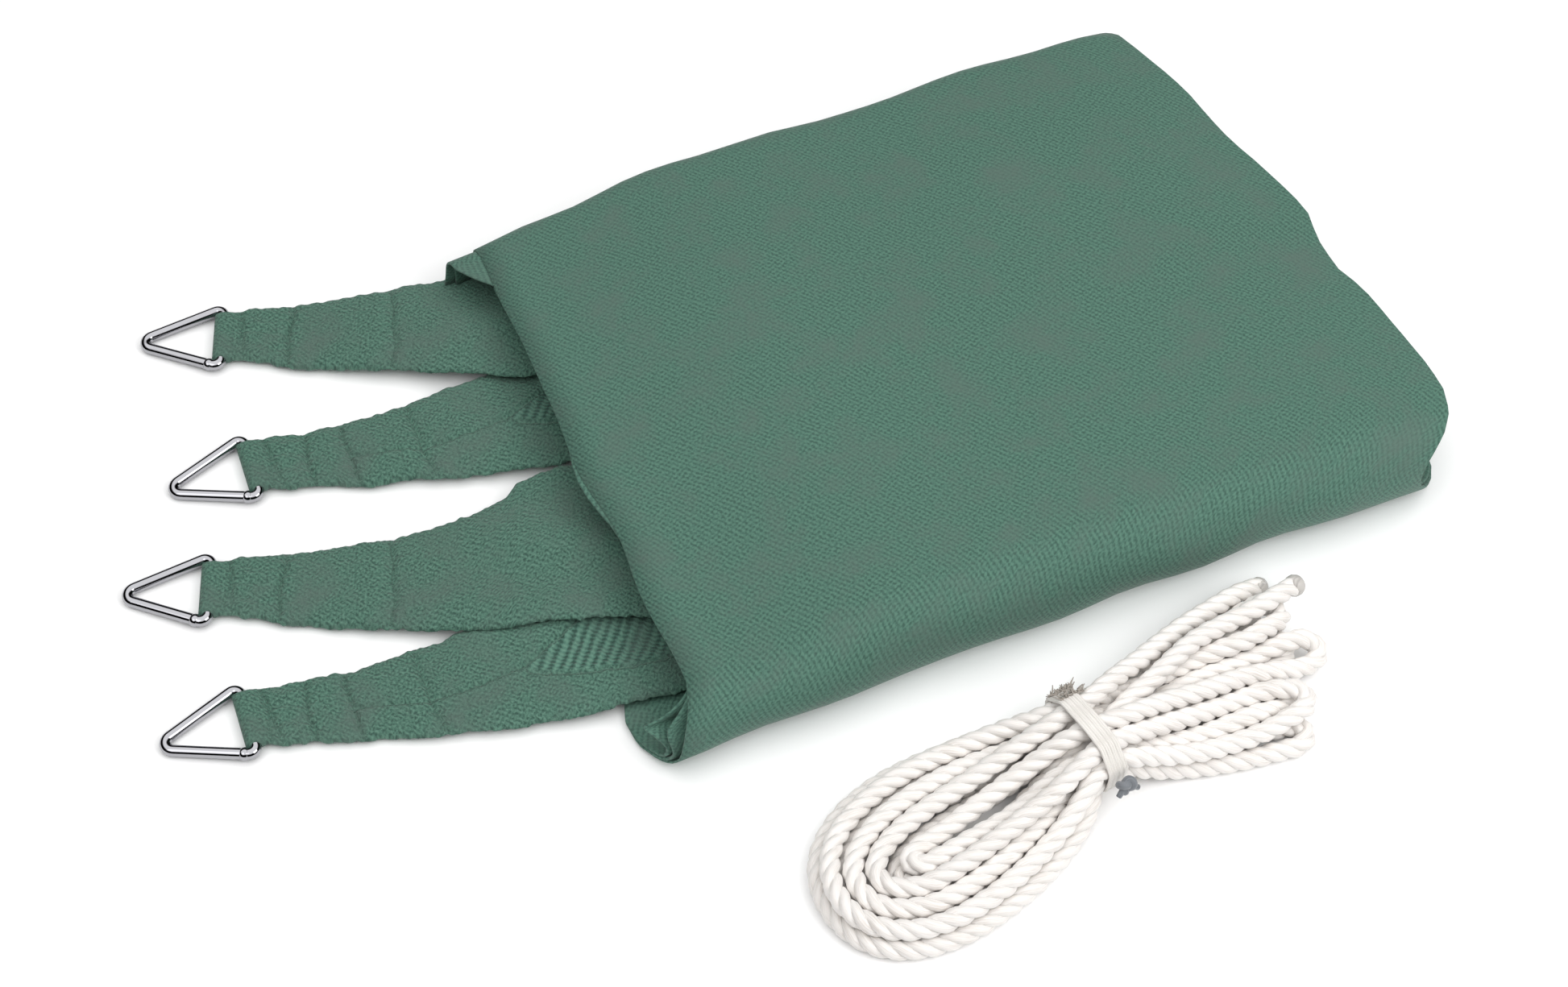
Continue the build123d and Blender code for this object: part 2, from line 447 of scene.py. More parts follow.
@dataclass(frozen=True)
class ChromeWire:
    """Drawn steel wire, chromed: mirror bright, with a faint unevenness in its shine."""

    name: str = "chromed_wire"
    colour: str = "#a8a8ac"

    def material(self) -> bpy.types.Material:
        """Builds the material."""
        made, tree = new_material(self.name)
        place = add(tree, "ShaderNodeTexCoord").outputs["Object"]
        uneven = add(tree, "ShaderNodeTexNoise", Vector=place, Scale=420.0, Detail=2.0).outputs["Fac"]
        rough = add(tree, "ShaderNodeMapRange", Value=uneven, To_Min=0.03, To_Max=0.09).outputs[0]
        bump = add(tree, "ShaderNodeBump", Height=uneven, Strength=0.2, Distance=0.02 * MM).outputs[0]
        shader = add(
            tree, "ShaderNodeBsdfPrincipled", Base_Color=linear(self.colour), Metallic=1.0,
            Roughness=rough, Normal=bump,
        )
        add(tree, "ShaderNodeOutputMaterial", Surface=shader.outputs[0])
        return made


@dataclass(frozen=True)
class Yarn:
    """Laid filament yarn: soft white or dyed, with fine fibres that run along it. Its darker colour is
    painted shade between the fibres.

    Attributes:
        name: The material's name.
        fibre_gap_shade: Painted shade between the fibres; the same colour also shows in random darker
            patches.
        body: Colour of the yarn.
        fibre: Width of a fibre, mm.
        sheen: How much the fibres glow at the edge.
        glow: How much light passes into the yarn.
    """

    name: str
    fibre_gap_shade: str
    body: str
    fibre: float = 0.5
    sheen: float = 0.3
    glow: float = 0.0

    def material(self) -> bpy.types.Material:
        """Builds the material."""
        made, tree = new_material(self.name)
        flat = add(tree, "ShaderNodeUVMap", {"uv_map": "flat"}).outputs["UV"]
        drawn = add(
            tree, "ShaderNodeMapping", Vector=flat, Scale=(110, PER_METRE / self.fibre, 1)
        ).outputs[0]
        fibres = add(
            tree, "ShaderNodeTexNoise", Vector=drawn, Scale=1.0, Detail=3.0, Roughness=0.55
        ).outputs["Fac"]
        patches = add(tree, "ShaderNodeTexNoise", Vector=flat, Scale=60.0, Detail=2.0).outputs["Fac"]
        both = add(
            tree, "ShaderNodeMath", {"operation": "MULTIPLY_ADD"}, in0=patches, in1=0.35, in2=fibres
        ).outputs[0]
        # Painted shade between the fibres: the colour turns darker where the fibre pattern is low, and random
        # patches shift it too.
        colour = ramp(tree, both, (0.42, self.fibre_gap_shade), (0.68, self.body))
        bump = add(tree, "ShaderNodeBump", Height=fibres, Strength=0.55, Distance=0.12 * MM).outputs[0]
        shader = add(
            tree, "ShaderNodeBsdfPrincipled", Base_Color=colour, Roughness=0.55, Normal=bump,
            Sheen_Weight=self.sheen, Sheen_Roughness=0.4, IOR=1.55,
            Subsurface_Weight=self.glow, Subsurface_Radius=(1.0, 0.95, 0.9), Subsurface_Scale=0.002,
        )
        add(tree, "ShaderNodeOutputMaterial", Surface=shader.outputs[0])
        return made


class Finish(Enum):
    """The finishes that the object has."""

    # In each knit the darker colour is painted shade in the holes and the lighter one is painted highlight on
    # the loops.
    SAIL = KnitCloth("shade_sail_knit")
    CORNER = KnitCloth(
        "corner_knit", pit_shade="#36544a", body="#4d7263", crest_highlight="#5f8575", faded="#586d64",
        rows=2.2, row_turn=-35.0, loops=1.7, loop_turn=40.0, relief=0.5, weave=0.42, fleck=1.5, grain=1.15,
    )
    RIBBED = KnitCloth(
        "coarse_ribbed_knit", pit_shade="#304e44", body="#4e7567", crest_highlight="#618978", faded="#566c63",
        rows=4.3, row_turn=54.0, loops=2.1, loop_turn=-36.0, relief=0.9, weave=1.1, fleck=0.6, grain=1.0,
    )
    WIRE = ChromeWire()
    # In each yarn the darker colour is painted shade between the fibres.
    ROPE = Yarn("twisted_rope", fibre_gap_shade="#d8d1ca", body="#eeeae6", glow=0.3)
    TIE = Yarn("tie_yarn", fibre_gap_shade="#c9c3bc", body="#e6e2dd", fibre=0.35)
    KNOT = Yarn("knot_yarn", fibre_gap_shade="#4c5055", body="#75797e", fibre=0.6)
    FRAYED = Yarn("frayed_yarn", fibre_gap_shade="#6e6760", body="#a39b92", fibre=0.3)
    MELTED = Yarn("melted_rope_end", fibre_gap_shade="#8f8b87", body="#c4c0bb", fibre=1.6, sheen=0.0)
    # The thread's colour is darker than the cloth's: partly its own colour, partly painted shade for the seam
    # creases.
    THREAD = Yarn("sewing_thread", fibre_gap_shade="#284439", body="#3f6355", fibre=0.25)


MADE: dict[Finish, bpy.types.Material] = {}


def finish(kind: Finish) -> bpy.types.Material:
    """The material of a finish, built once."""
    if kind not in MADE:
        MADE[kind] = kind.value.material()
    return MADE[kind]


# ---------------------------------------------------------------- the folded sail

@dataclass
class FoldedSail:
    """One cloth, gathered along its length into a strip of plies, and the strip folded into the pack.

    The strip's outermost turn goes over the top, round the front edge and back underneath. The rest zigzags
    inside it. Turns of the strip count from 0 at its start on the back edge: it lies on top from 1 to 2,
    goes round the front edge from 2 to 3, lies underneath up to 4, and folds to and fro from there.

    Attributes:
        plies: Plies in the strip.
        ply_pitch: How far apart they lie, mm.
        ply_length: A ply's flat length, mm. Not used.
        knit_length: A ply's length that sets the scale of the knit along it, mm.
        cloth: Thickness of the cloth, mm.
        across_steps: Steps along each ply.
        step: Longest step along the strip, mm.
        back_drop: How far the strip's start hangs down at the back, mm.
        back_radius: Radius of the top's back edge, mm.
        layers: Layers of the strip in the pack.
        left: How far left the plies reach at each turn, mm.
        right: How much further right than its edge the strip reaches at each turn, mm.
        right_edge: How far right the pack reaches at each place from front to back, mm.
        pocket: How far plies gape at the front left corner, mm.
        fan: How far each fold of plies stands out past the one above there, mm.
        flap: How far the loose plies stand out at the back left corner, mm.
        bulge: How far the inner layers push out at the right, mm.
        setback: How much shorter each fold of plies is than the one above, mm.
        droop: Share of its height that the pack loses at its left end.
        slump: Share of its height that it loses at its right end.
    """

    plies: int = 5
    ply_pitch: float = 0.92
    ply_length: float = 355.0
    knit_length: float = 360.0
    cloth: float = 0.72
    across_steps: int = 26
    step: float = 9.0
    back_drop: float = 16.0
    back_radius: float = 9.0
    layers: int = 9
    left: tuple = (
        (0.0, -181.0), (1.0, -180.0), (2.0, -178.0), (2.2, -181.0), (2.6, -189.0), (2.8, -195.0),
        (2.95, -199.0), (3.05, -200.0), (3.2, -167.0), (4.0, -166.0), (5.0, -128.0),
        (6.0, -150.0), (7.0, -126.0), (8.0, -152.0), (9.0, -160.0), (10.0, -176.0), (11.0, -168.0),
    )
    right: tuple = (0.0, 0.0, 0.0, -2.0, -6.0, -6.0, -3.0, -7.0, -2.0, -6.0, -4.0, -8.0)
    right_edge: tuple = (
        (-146, 154), (-140, 164), (-134, 172), (-126, 179), (-115, 183), (-99, 183.5), (-77, 181.5),
        (-60, 180), (-42, 178), (-30, 175), (-12, 177), (8, 181), (25, 177), (65, 166), (97, 162),
        (117, 156), (140, 149), (150, 138),
    )
    pocket: float = 6.5
    fan: float = 7.0
    flap: float = 12.0
    bulge: float = 5.0
    setback: float = 1.2
    droop: float = 0.27
    slump: float = 0.20
    ends: Ripple = field(default_factory=lambda: Ripple(11, 160, 45))
    surface: Ripple = field(default_factory=lambda: Ripple(5, 210, 70))
    wrinkle: Ripple = field(default_factory=lambda: Ripple(8, 34, 15, 9))

    def __post_init__(self) -> None:
        """Takes the pack's place from the frame."""
        low, high = box_of("sail_outer_wrap")
        self.front, self.back, self.height = low[1], high[1] + 3.5, high[2] - 0.5
        self.strip = self.plies * self.ply_pitch
        self.pitch = (self.height - self.strip) / (self.layers - 1)

    def profile(self) -> tuple[np.ndarray, np.ndarray, np.ndarray]:
        """The strip's middle line across the pack, from its start on the back edge to its end inside.

        Returns:
            Its points in Y and Z, how far along it each is, and the turn number of each.
        """
        half = self.strip / 2
        top, big = self.height - half, (self.height - self.strip) / 2
        nose = self.front + half + big
        back = self.back - half
        points = [(back, top - self.back_radius - self.back_drop, 0.0)]

        def line(y: float, z: float, turn: float) -> None:
            """Goes straight on to y, z, where the turn number is turn."""
            y0, z0, t0 = points[-1]
            count = max(2, int(math.hypot(y - y0, z - z0) / self.step))
            for k in range(1, count + 1):
                part = k / count
                points.append((y0 + (y - y0) * part, z0 + (z - z0) * part, t0 + (turn - t0) * part))

        def arc(
            y: float, z: float, radius: float, start: float, end: float, turn: float, count: int
        ) -> None:
            """Goes round y, z from one angle to the other, in degrees, in a number of steps."""
            t0 = points[-1][2]
            for k in range(1, count + 1):
                part = k / count
                a = math.radians(start + (end - start) * part)
                points.append((y + radius * math.cos(a), z + radius * math.sin(a), t0 + (turn - t0) * part))

        line(back, top - self.back_radius, 0.4)
        arc(back - self.back_radius, top - self.back_radius, self.back_radius, 0, 90, 1.0, 7)
        line(nose, top, 2.0)
        arc(nose, half + big, big, 90, 270, 3.0, 18)
        inner_back = back - self.strip - self.pitch / 2 - 1.0
        line(inner_back, half, 4.0)
        room = big - half - self.pitch / 2 - half
        turn, z, fold = 4.0, half, self.pitch / 2
        for layer in range(1, self.layers - 1):
            at_back = layer % 2 == 1
            if at_back:
                arc(inner_back, z + fold, fold, -90, 90, turn, 6)
            else:
                lift = z + fold - (half + big)
                reach = nose - math.sqrt(max(room * room - lift * lift, 0.0))
                arc(reach, z + fold, fold, 270, 90, turn, 6)
            z += self.pitch
            turn += 1.0
            if layer == self.layers - 2:
                line(nose - 4.0, z, turn)
            elif at_back:
                lift = z + fold - (half + big)
                line(nose - math.sqrt(max(room * room - lift * lift, 0.0)), z, turn)
            else:
                line(inner_back, z, turn)
        table = np.array(points)
        run = np.concatenate([[0], np.cumsum(np.hypot(*np.diff(table[:, :2], axis=0).T))])
        return table[:, :2], run, table[:, 2]

    def across(self) -> list[tuple[float, float, float]]:
        """The strip's plies as one line: ply number, place along the ply, and how far out a fold bulges."""
        line = []
        for ply in range(self.plies):
            steps = np.linspace(0, 1, self.across_steps + 1)
            for share in steps if ply % 2 == 0 else steps[::-1]:
                line.append((float(ply), float(share), 0.0))
            if ply < self.plies - 1:
                side = 1.0 if ply % 2 == 0 else 0.0
                for a in np.radians((36, 72, 108, 144)):
                    line.append((ply + (1 - math.cos(a)) / 2, side, math.sin(a) * (1 if side else -1)))
        return line

    def relaxed(self, p: np.ndarray) -> np.ndarray:
        """Moves points of the pack as its weight and handling did: lower at its ends, never quite straight.

        Args:
            p: Points, mm.

        Returns:
            The points moved.
        """
        x, y, z = p[..., 0], p[..., 1], p[..., 2]
        level = z / self.height
        squash = 1 - self.droop * smooth_step((-70 - x) / 115) - self.slump * smooth_step((x - 115) / 75)
        squash -= 0.05 * smooth_step((y - 60) / 90)
        squash += 0.030 * self.surface(x, y) + 0.004 * self.wrinkle(x, y)
        skewed = y + 0.022 * x * smooth_step((y + 20) / 160)
        skewed += 0.022 * (x + 40) * smooth_step((-y - 60) / 80)
        skewed -= 6.0 * smooth_step((-138 - x) / 50) * smooth_step((y - 60) / 80)
        skewed += 1.1 * self.ends(x, 40 * level) * smooth_step((np.abs(y) - 90) / 50)
        return np.stack([x + 0.8 * self.ends(y, 60 * level), skewed, np.maximum(z * squash, 0.0)], -1)

    def left_ends(self, y: np.ndarray, turn: np.ndarray, run: np.ndarray, fold: np.ndarray) -> np.ndarray:
        """Where the plies end on the left, mm.

        Args:
            y: Place of each row of the strip, mm.
            turn: Its turn number.
            run: How far along the strip it is, mm.
            fold: Which fold of plies each belongs to, from the outermost.

        Returns:
            The ends, a row for each ply's point.
        """
        at_front = smooth_step((turn - 1.98) / 0.38) * smooth_step((3.25 - turn) / 0.15)
        near = smooth_step((-y - 40) / 70)
        at_back = smooth_step((y - 122) / 12) * smooth_step((1.7 - turn) / 0.2)
        spread = self.fan - 6.0 * smooth_step((turn - 2.3) / 0.35)
        ends = np.interp(turn, *zip(*self.left))
        ends = ends - fold * (spread * at_front * near - self.setback * smooth_step((2.4 - turn) / 0.5))
        ends = ends - self.flap * np.minimum(fold, 1.0) * at_back
        return ends + (1.0 + fold) * self.ends(run * 0.9 + 300 * fold, 0 * run)

    def right_ends(self, y: np.ndarray, turn: np.ndarray, run: np.ndarray, fold: np.ndarray) -> np.ndarray:
        """Where the plies end on the right, mm, from the same values as left_ends."""
        ends = np.interp(y, *zip(*self.right_edge)) + np.interp(turn, np.arange(len(self.right)), self.right)
        ends = ends + self.bulge * np.exp(-((y + 96) / 34) ** 2) * smooth_step((turn - 4.4) / 0.5)
        rough = 0.7 + 0.9 * smooth_step((turn - 2.6) / 0.6)
        return ends + rough * self.ends(run * 0.8, 500 * fold) - self.setback * fold

    def folded(self, centre: np.ndarray, run: np.ndarray, turn: np.ndarray) -> tuple[np.ndarray, np.ndarray]:
        """Lays the plies along the strip.

        Args:
            centre: The strip's middle line in Y and Z, mm.
            run: How far along it each point is, mm.
            turn: The turn number of each.

        Returns:
            The cloth's points, and how far along the plies each row of them is, mm.
        """
        step_y, step_z = np.gradient(centre[:, 0]), np.gradient(centre[:, 1])
        length = np.hypot(step_y, step_z)
        out = np.stack([step_z / length, -step_y / length], -1)
        ply, share, bulge = (np.array(column)[:, None] for column in zip(*self.across()))
        y, turn, run = centre[None, :, 0], turn[None], run[None]
        left_fold, right_fold = np.floor((ply + 1.001) / 2), np.floor(ply / 2 + 0.001)
        left_end = self.left_ends(y, turn, run, left_fold)
        right_end = self.right_ends(y, turn, run, right_fold)
        x = left_end + (right_end - left_end) * share + bulge * self.ply_pitch * 0.5
        opening = self.pocket * smooth_step((-118 - x) / 60) * smooth_step((turn - 2.0) / 0.35)
        opening = opening * smooth_step((2.75 - turn) / 0.4)
        depth = ply * self.ply_pitch + opening * left_fold
        away = (self.plies - 1) / 2 * self.ply_pitch - depth
        at_mouth = smooth_step((-110 - x) / 60) * smooth_step((self.front + 80 - y) / 60)
        retreat = 2.2 * self.pocket * at_mouth * smooth_step((turn - 4.4) / 0.4)
        points = np.stack([
            x,
            y + out[None, :, 0] * away + retreat,
            centre[None, :, 1] + out[None, :, 1] * away,
        ], -1)
        steps = np.hypot(np.diff(share[:, 0]) * self.knit_length, np.diff(ply[:, 0]) * self.ply_pitch)
        return points, np.concatenate([[0], np.cumsum(steps)])

    def build(self) -> None:
        centre, run, turn = self.profile()
        points, along = self.folded(centre, run, turn)
        points = self.relaxed(points)
        points[..., 2] += self.cloth / 2 + 0.1
        verts, faces = closed_sheet(*thicken(points, self.cloth / 2))
        uv = np.stack(np.broadcast_arrays(along[:, None] * MM, run[None] * MM), -1).reshape(-1, 2)
        made = build_mesh("shade_sail_cloth", verts, faces, finish(Finish.SAIL), np.concatenate([uv, uv]))
        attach(made, "sail")
        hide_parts("sail_outer_wrap", "sail_inner_folds")


# ---------------------------------------------------------------- the sewn corners

@dataclass
class SewnCorner:
    """One corner of the sail: a doubled tab that ends in a tunnel round a ring's bar.

    Attributes:
        number: Which corner it is, from the back.
        bar: The middle of the ring's bar, mm.
        heading: Which way the tab runs to the pack, degrees.
        level: Its height where it enters the pack.
        edges: Stations along it and its far and near half widths there.
        seams: Where its cross seams lie, mm from the bar.
        long_seams: Stations of each seam that runs along it, and its place across there from -1 to 1.
        loop: Radius of the tunnel round the bar, mm.
        fine: Steps along the tab, mm.
        columns: Points across it.
        tunnel_rows: Where the two rows that close the tunnel lie, mm from the bar.
        patch_end: Where the doubled patch ends, mm from the bar.
        patch_half: Half the thickness of the patch, mm.
        patch_step: How much thinner each side is past the patch, mm.
        tunnel_depth: How deep the tunnel's rows pull in, mm.
        seam_depth: How deep the cross seams pull in, mm.
        pucker: How far the cloth puckers beside a cross seam, mm.
        crimp: How far it crimps behind the tunnel, mm.
        rib_turn: Which way the coarse ribs run, degrees.
        rib_pitch: How far apart they are, mm.
        rib_height: How far they stand out, mm.
        mouth: Where the pack's mouth is, mm.
        inside: How far the tab goes on inside it, mm.
    """

    number: int
    bar: tuple
    heading: float
    level: float
    edges: tuple
    seams: tuple
    long_seams: tuple = ()
    loop: float = 4.0
    fine: float = 0.8
    columns: int = 64
    tunnel_rows: tuple = (7.2, 9.8)
    patch_end: float = 70.0
    patch_half: float = 2.6
    patch_step: float = 0.8
    tunnel_depth: float = 0.95
    seam_depth: float = 1.9
    pucker: float = 0.3
    crimp: float = 0.45
    rib_turn: float = 54.0
    rib_pitch: float = 4.3
    rib_height: float = 0.3
    mouth: float = -180.0
    inside: float = 34.0

    def lengths(self) -> tuple[float, float]:
        """How far along the tab the mouth of the pack is, and the tab's end."""
        run = (self.mouth - self.bar[0]) / math.cos(math.radians(self.heading))
        return run, run + self.inside

    def outline(self) -> tuple[np.ndarray, np.ndarray, np.ndarray]:
        """The stations along the tab, and its far and near half widths there, mm."""
        stations, far, near = (np.array(column) for column in zip(*self.edges))
        return stations, far, near

    def rims(self, s: np.ndarray) -> tuple[np.ndarray, np.ndarray]:
        """Where the tab's far and near rims lie, sideways from its middle line, mm. Their cut is ragged."""
        stations, far, near = self.outline()
        frayed = smooth_step((s - 5) / 10)
        rims = []
        for widths, first, fuzz, wave in ((far, 20, 0.34, 0.45), (near, 60, 0.38, 0.5)):
            seed = first + self.number
            ragged = fuzz * Ripple(seed, 9, 2.2, 11)(s, 0 * s) + wave * Ripple(seed + 5, 40, 16)(s, 0 * s)
            rims.append(np.interp(s, stations, widths) + frayed * ragged)
        return rims[0], rims[1]

    def seam_place(self, stations: tuple, s: np.ndarray) -> np.ndarray:
        """Where a long seam lies across the tab, from -1 to 1."""
        return np.interp(s, *zip(*stations))

    def ribbed(self, s: np.ndarray, t: np.ndarray) -> np.ndarray:
        """Whether each place is in the coarse ribs, which lie between the two long seams near the pack."""
        if not self.long_seams:
            return np.zeros(np.broadcast(s, t).shape, dtype=bool)
        upper, lower = (self.seam_place(stations, s) for stations in self.long_seams)
        return (s > self.long_seams[1][0][0]) & (t > lower + 0.03) & (t < upper - 0.03)

    def seam_bend(self, seam: float, v: np.ndarray) -> np.ndarray:
        """How far a cross seam strays from straight, mm."""
        return 1.1 * np.sin(v / 11 + seam) + 0.5 * np.sin(v / 3.7 + 2 * seam)

    def surface(self, s: np.ndarray, t: np.ndarray) -> tuple[np.ndarray, np.ndarray]:
        """The tab's middle surface and half thickness.

        Args:
            s: How far along the tab, mm from the bar.
            t: Across it, from -1 to 1.

        Returns:
            Points in millimetres and the half thickness at each.
        """
        run, _ = self.lengths()
        high, low = self.rims(s)
        v = (high + low) / 2 + t * (high - low) / 2
        climb = smooth_step((s - 20) / (run - 10))
        lift = self.bar[2] + (self.level - self.bar[2]) * climb
        gather = smooth_step((s - 70) / 60)
        lift = lift + gather * 1.1 * np.sin(v / 6.5 + self.number + 0.02 * s)
        lift = lift + 0.45 * Ripple(100 + self.number, 70, 20)(s, v) * smooth_step((s - 8) / 25)
        lift = lift - 1.2 * (np.abs(t) ** 3) * smooth_step((s - 15) / 40)
        h = math.radians(self.heading)
        middle = np.stack([
            self.bar[0] + s * math.cos(h) - v * math.sin(h),
            self.bar[1] + s * math.sin(h) + v * math.cos(h),
            lift,
        ], -1)
        return middle, self.half_thickness(s, t, v, (high - low) / 2)

    def half_thickness(
        self, s: np.ndarray, t: np.ndarray, v: np.ndarray, half_width: np.ndarray
    ) -> np.ndarray:
        """Half the tab's thickness, with its tunnel, seams and ribs.

        Args:
            s: How far along the tab, mm from the bar.
            t: Across it, from -1 to 1.
            v: Across it, mm.
            half_width: Half its width there, mm.

        Returns:
            The half thickness, mm.
        """
        flat_half = self.patch_half - self.patch_step * smooth_step((s - self.patch_end) / 5)
        round_half = np.sqrt(np.maximum(self.loop ** 2 - np.minimum(s, 0) ** 2, 0.0))
        half = round_half + (flat_half - round_half) * smooth_step((s - 1.0) / 5.0)
        for seam in (*self.tunnel_rows, *self.seams):
            away = s - seam - self.seam_bend(seam, v)
            deep = self.tunnel_depth if seam in self.tunnel_rows else self.seam_depth
            half = half - deep * np.exp(-(away / 0.85) ** 2) - 0.42 * deep * np.exp(-(away / 3.0) ** 2)
            gathers = np.sin(v * 2 * math.pi / 4.6 + 0.5 * np.sin(s / 3) + seam)
            half = half + self.pucker * (np.exp(-(away / 6.0) ** 2) * gathers)
        half = half + self.crimp * np.exp(-((s - 17) / 6.0) ** 2) * np.sin(v / 1.3 + s / 4.5)
        for stations in self.long_seams:
            gap = (t - self.seam_place(stations, s)) * half_width
            begins = smooth_step((s - stations[0][0]) / 4)
            half = half - begins * (1.6 * np.exp(-(gap / 0.9) ** 2) - 0.8 * np.exp(-((gap + 2.8) / 1.6) ** 2))
        slant = math.radians(self.rib_turn)
        ribs = np.sin((s * math.sin(slant) - v * math.cos(slant)) * 2 * math.pi / self.rib_pitch)
        half = half + self.rib_height * ribs * self.ribbed(s, t)
        rim = np.sqrt(np.maximum(1 - np.abs(t) ** 11, 0.0))
        return np.maximum(half, 0.2) * rim + 0.02

    def build_tab(self) -> None:
        _, end = self.lengths()
        nose = -self.loop * np.cos(np.linspace(0, math.pi / 2, 8))
        s = np.concatenate([nose[:-1], np.arange(0, end, self.fine)])
        bunched = np.sin(np.linspace(-math.pi / 2, math.pi / 2, self.columns))
        t = 0.4 * bunched + 0.6 * np.linspace(-1, 1, self.columns)
        s_grid, t_grid = np.meshgrid(s, t, indexing="ij")
        middle, half = self.surface(s_grid, t_grid)
        fuzz = Ripple(60 + self.number, 4.2, 2.2, 14)(middle[..., 0], middle[..., 1])
        grain = 0.09 * fuzz * smooth_step((s_grid + 3) / 6)
        rise = np.zeros_like(middle)
        rise[..., 2] = np.maximum(half + grain, 0.02)
        top, under = middle + rise, middle - rise
        under[..., 2] = np.maximum(under[..., 2], 0.05)
        top[..., 2] = np.maximum(top[..., 2], under[..., 2] + 0.03)
        verts, faces = closed_sheet(top, under)
        stations, far, near = self.outline()
        width = np.interp(s_grid, stations, far) - np.interp(s_grid, stations, near)
        uv = np.stack([s_grid * MM, t_grid * width / 2 * MM], -1).reshape(-1, 2)
        name = f"corner_tab_{self.number}"
        made = build_mesh(name, verts, faces, finish(Finish.CORNER), np.concatenate([uv, uv]))
        if self.long_seams:
            self.dress_ribs(made, s_grid, t_grid)
        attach(made, "sail")
        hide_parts(f"corner_web_{self.number}", f"corner_patch_{self.number}")

    def dress_ribs(self, made: bpy.types.Object, s_grid: np.ndarray, t_grid: np.ndarray) -> None:
        """Dresses the stretch between the long seams in the coarse ribbed knit.

        Args:
            made: The tab.
            s_grid: How far along the tab each point of its upper face is.
            t_grid: Where across it each is.
        """
        made.data.materials.append(finish(Finish.RIBBED))
        s, t = (np.tile(grid.ravel(), 2) for grid in (s_grid, t_grid))
        ribbed = self.ribbed(s, t)
        for polygon in made.data.polygons:
            polygon.material_index = int(all(ribbed[i] for i in polygon.vertices))

    def seam_lines(self) -> list[np.ndarray]:
        """The lines of the seams on the tab's upper face, mm."""
        lines = []
        t = np.linspace(-0.9, 0.9, 48)
        stations, far, near = self.outline()
        for seam in (*self.tunnel_rows, *self.seams):
            centre, half_width = (np.interp(seam, stations, w / 2) for w in (far + near, far - near))
            v = centre + t * half_width
            middle, half = self.surface(seam + self.seam_bend(seam, v), t)
            middle[..., 2] += half + 0.12
            lines.append(middle)
        run, _ = self.lengths()
        for stations in self.long_seams:
            s = np.linspace(stations[0][0] + 2, run + 8, 80)
            middle, half = self.surface(s, self.seam_place(stations, s) - 0.075)
            middle[..., 2] += half + 0.1
            lines.append(middle)
        return lines


def stitch_tree() -> bpy.types.NodeTree:
    """Builds the tree that sews a row of stitches along each line of a mesh.

    Returns:
        The tree, with inputs for the stitches' spacing, thickness and material.
    """
    tree = bpy.data.node_groups.new("stitch_row", "GeometryNodeTree")
    face = tree.interface
    face.new_socket("Seams", in_out="INPUT", socket_type="NodeSocketGeometry")
    face.new_socket("Spacing", in_out="INPUT", socket_type="NodeSocketFloat")
    face.new_socket("Thread", in_out="INPUT", socket_type="NodeSocketFloat")
    face.new_socket("Material", in_out="INPUT", socket_type="NodeSocketMaterial")
    face.new_socket("Stitches", in_out="OUTPUT", socket_type="NodeSocketGeometry")
    given = add(tree, "NodeGroupInput")
    curve = add(tree, "GeometryNodeMeshToCurve", Mesh=given.outputs["Seams"]).outputs[0]
    points = add(
        tree, "GeometryNodeCurveToPoints", {"mode": "LENGTH"}, Curve=curve, Length=given.outputs["Spacing"]
    )
    one = add(tree, "GeometryNodeMeshUVSphere", Segments=8, Rings=5, Radius=1.0).outputs[0]
    long = add(
        tree, "ShaderNodeMath", {"operation": "MULTIPLY"}, in0=given.outputs["Spacing"], in1=0.42
    ).outputs[0]
    size = add(
        tree, "ShaderNodeCombineXYZ", X=given.outputs["Thread"], Y=given.outputs["Thread"], Z=long
    ).outputs[0]
    shaped = add(tree, "GeometryNodeTransform", Geometry=one, Scale=size).outputs[0]
    sewn = add(
        tree, "GeometryNodeInstanceOnPoints", Points=points.outputs["Points"], Instance=shaped,
        Rotation=points.outputs["Rotation"],
    ).outputs[0]
    real = add(tree, "GeometryNodeRealizeInstances", Geometry=sewn).outputs[0]
    dressed = add(
        tree, "GeometryNodeSetMaterial", Geometry=real, Material=given.outputs["Material"]
    ).outputs[0]
    add(tree, "NodeGroupOutput", Stitches=dressed)
    return tree


def sew(
    name: str, lines: list[np.ndarray], tree: bpy.types.NodeTree, spacing: float, thread: float
) -> bpy.types.Object:
    """Sews stitches along lines, as one plain mesh.

    Args:
        name: The new object's name.
        lines: Each line's points, mm.
        tree: The stitch tree.
        spacing: Length of a stitch, mm.
        thread: Radius of the thread, mm.

    Returns:
        The object.
    """
    points = np.concatenate(lines) * MM
    edges, start = [], 0
    for line in lines:
        edges += [(start + i, start + i + 1) for i in range(len(line) - 1)]
        start += len(line)
    mesh = bpy.data.meshes.new(name + "_seams")
    mesh.from_pydata(points.tolist(), edges, [])
    guide = bpy.data.objects.new(name + "_seams", mesh)
    bpy.context.scene.collection.objects.link(guide)
    modifier = guide.modifiers.new("stitches", "NODES")
    modifier.node_group = tree
    sockets = {item.name: item.identifier for item in tree.interface.items_tree if item.in_out == "INPUT"}
    modifier[sockets["Spacing"]] = spacing * MM
    modifier[sockets["Thread"]] = thread * MM
    modifier[sockets["Material"]] = finish(Finish.THREAD)
    bpy.context.view_layer.update()
    evaluated = guide.evaluated_get(bpy.context.evaluated_depsgraph_get())
    result = bpy.data.meshes.new_from_object(evaluated)
    result.name = name
    made = bpy.data.objects.new(name, result)
    bpy.context.scene.collection.objects.link(made)
    bpy.data.objects.remove(guide)
    result.polygons.foreach_set("use_smooth", np.ones(len(result.polygons), dtype=bool))
    if not result.uv_layers:
        result.uv_layers.new(name="flat")
    result.uv_layers[0].name = "flat"
    return made


# ---------------------------------------------------------------- the rope

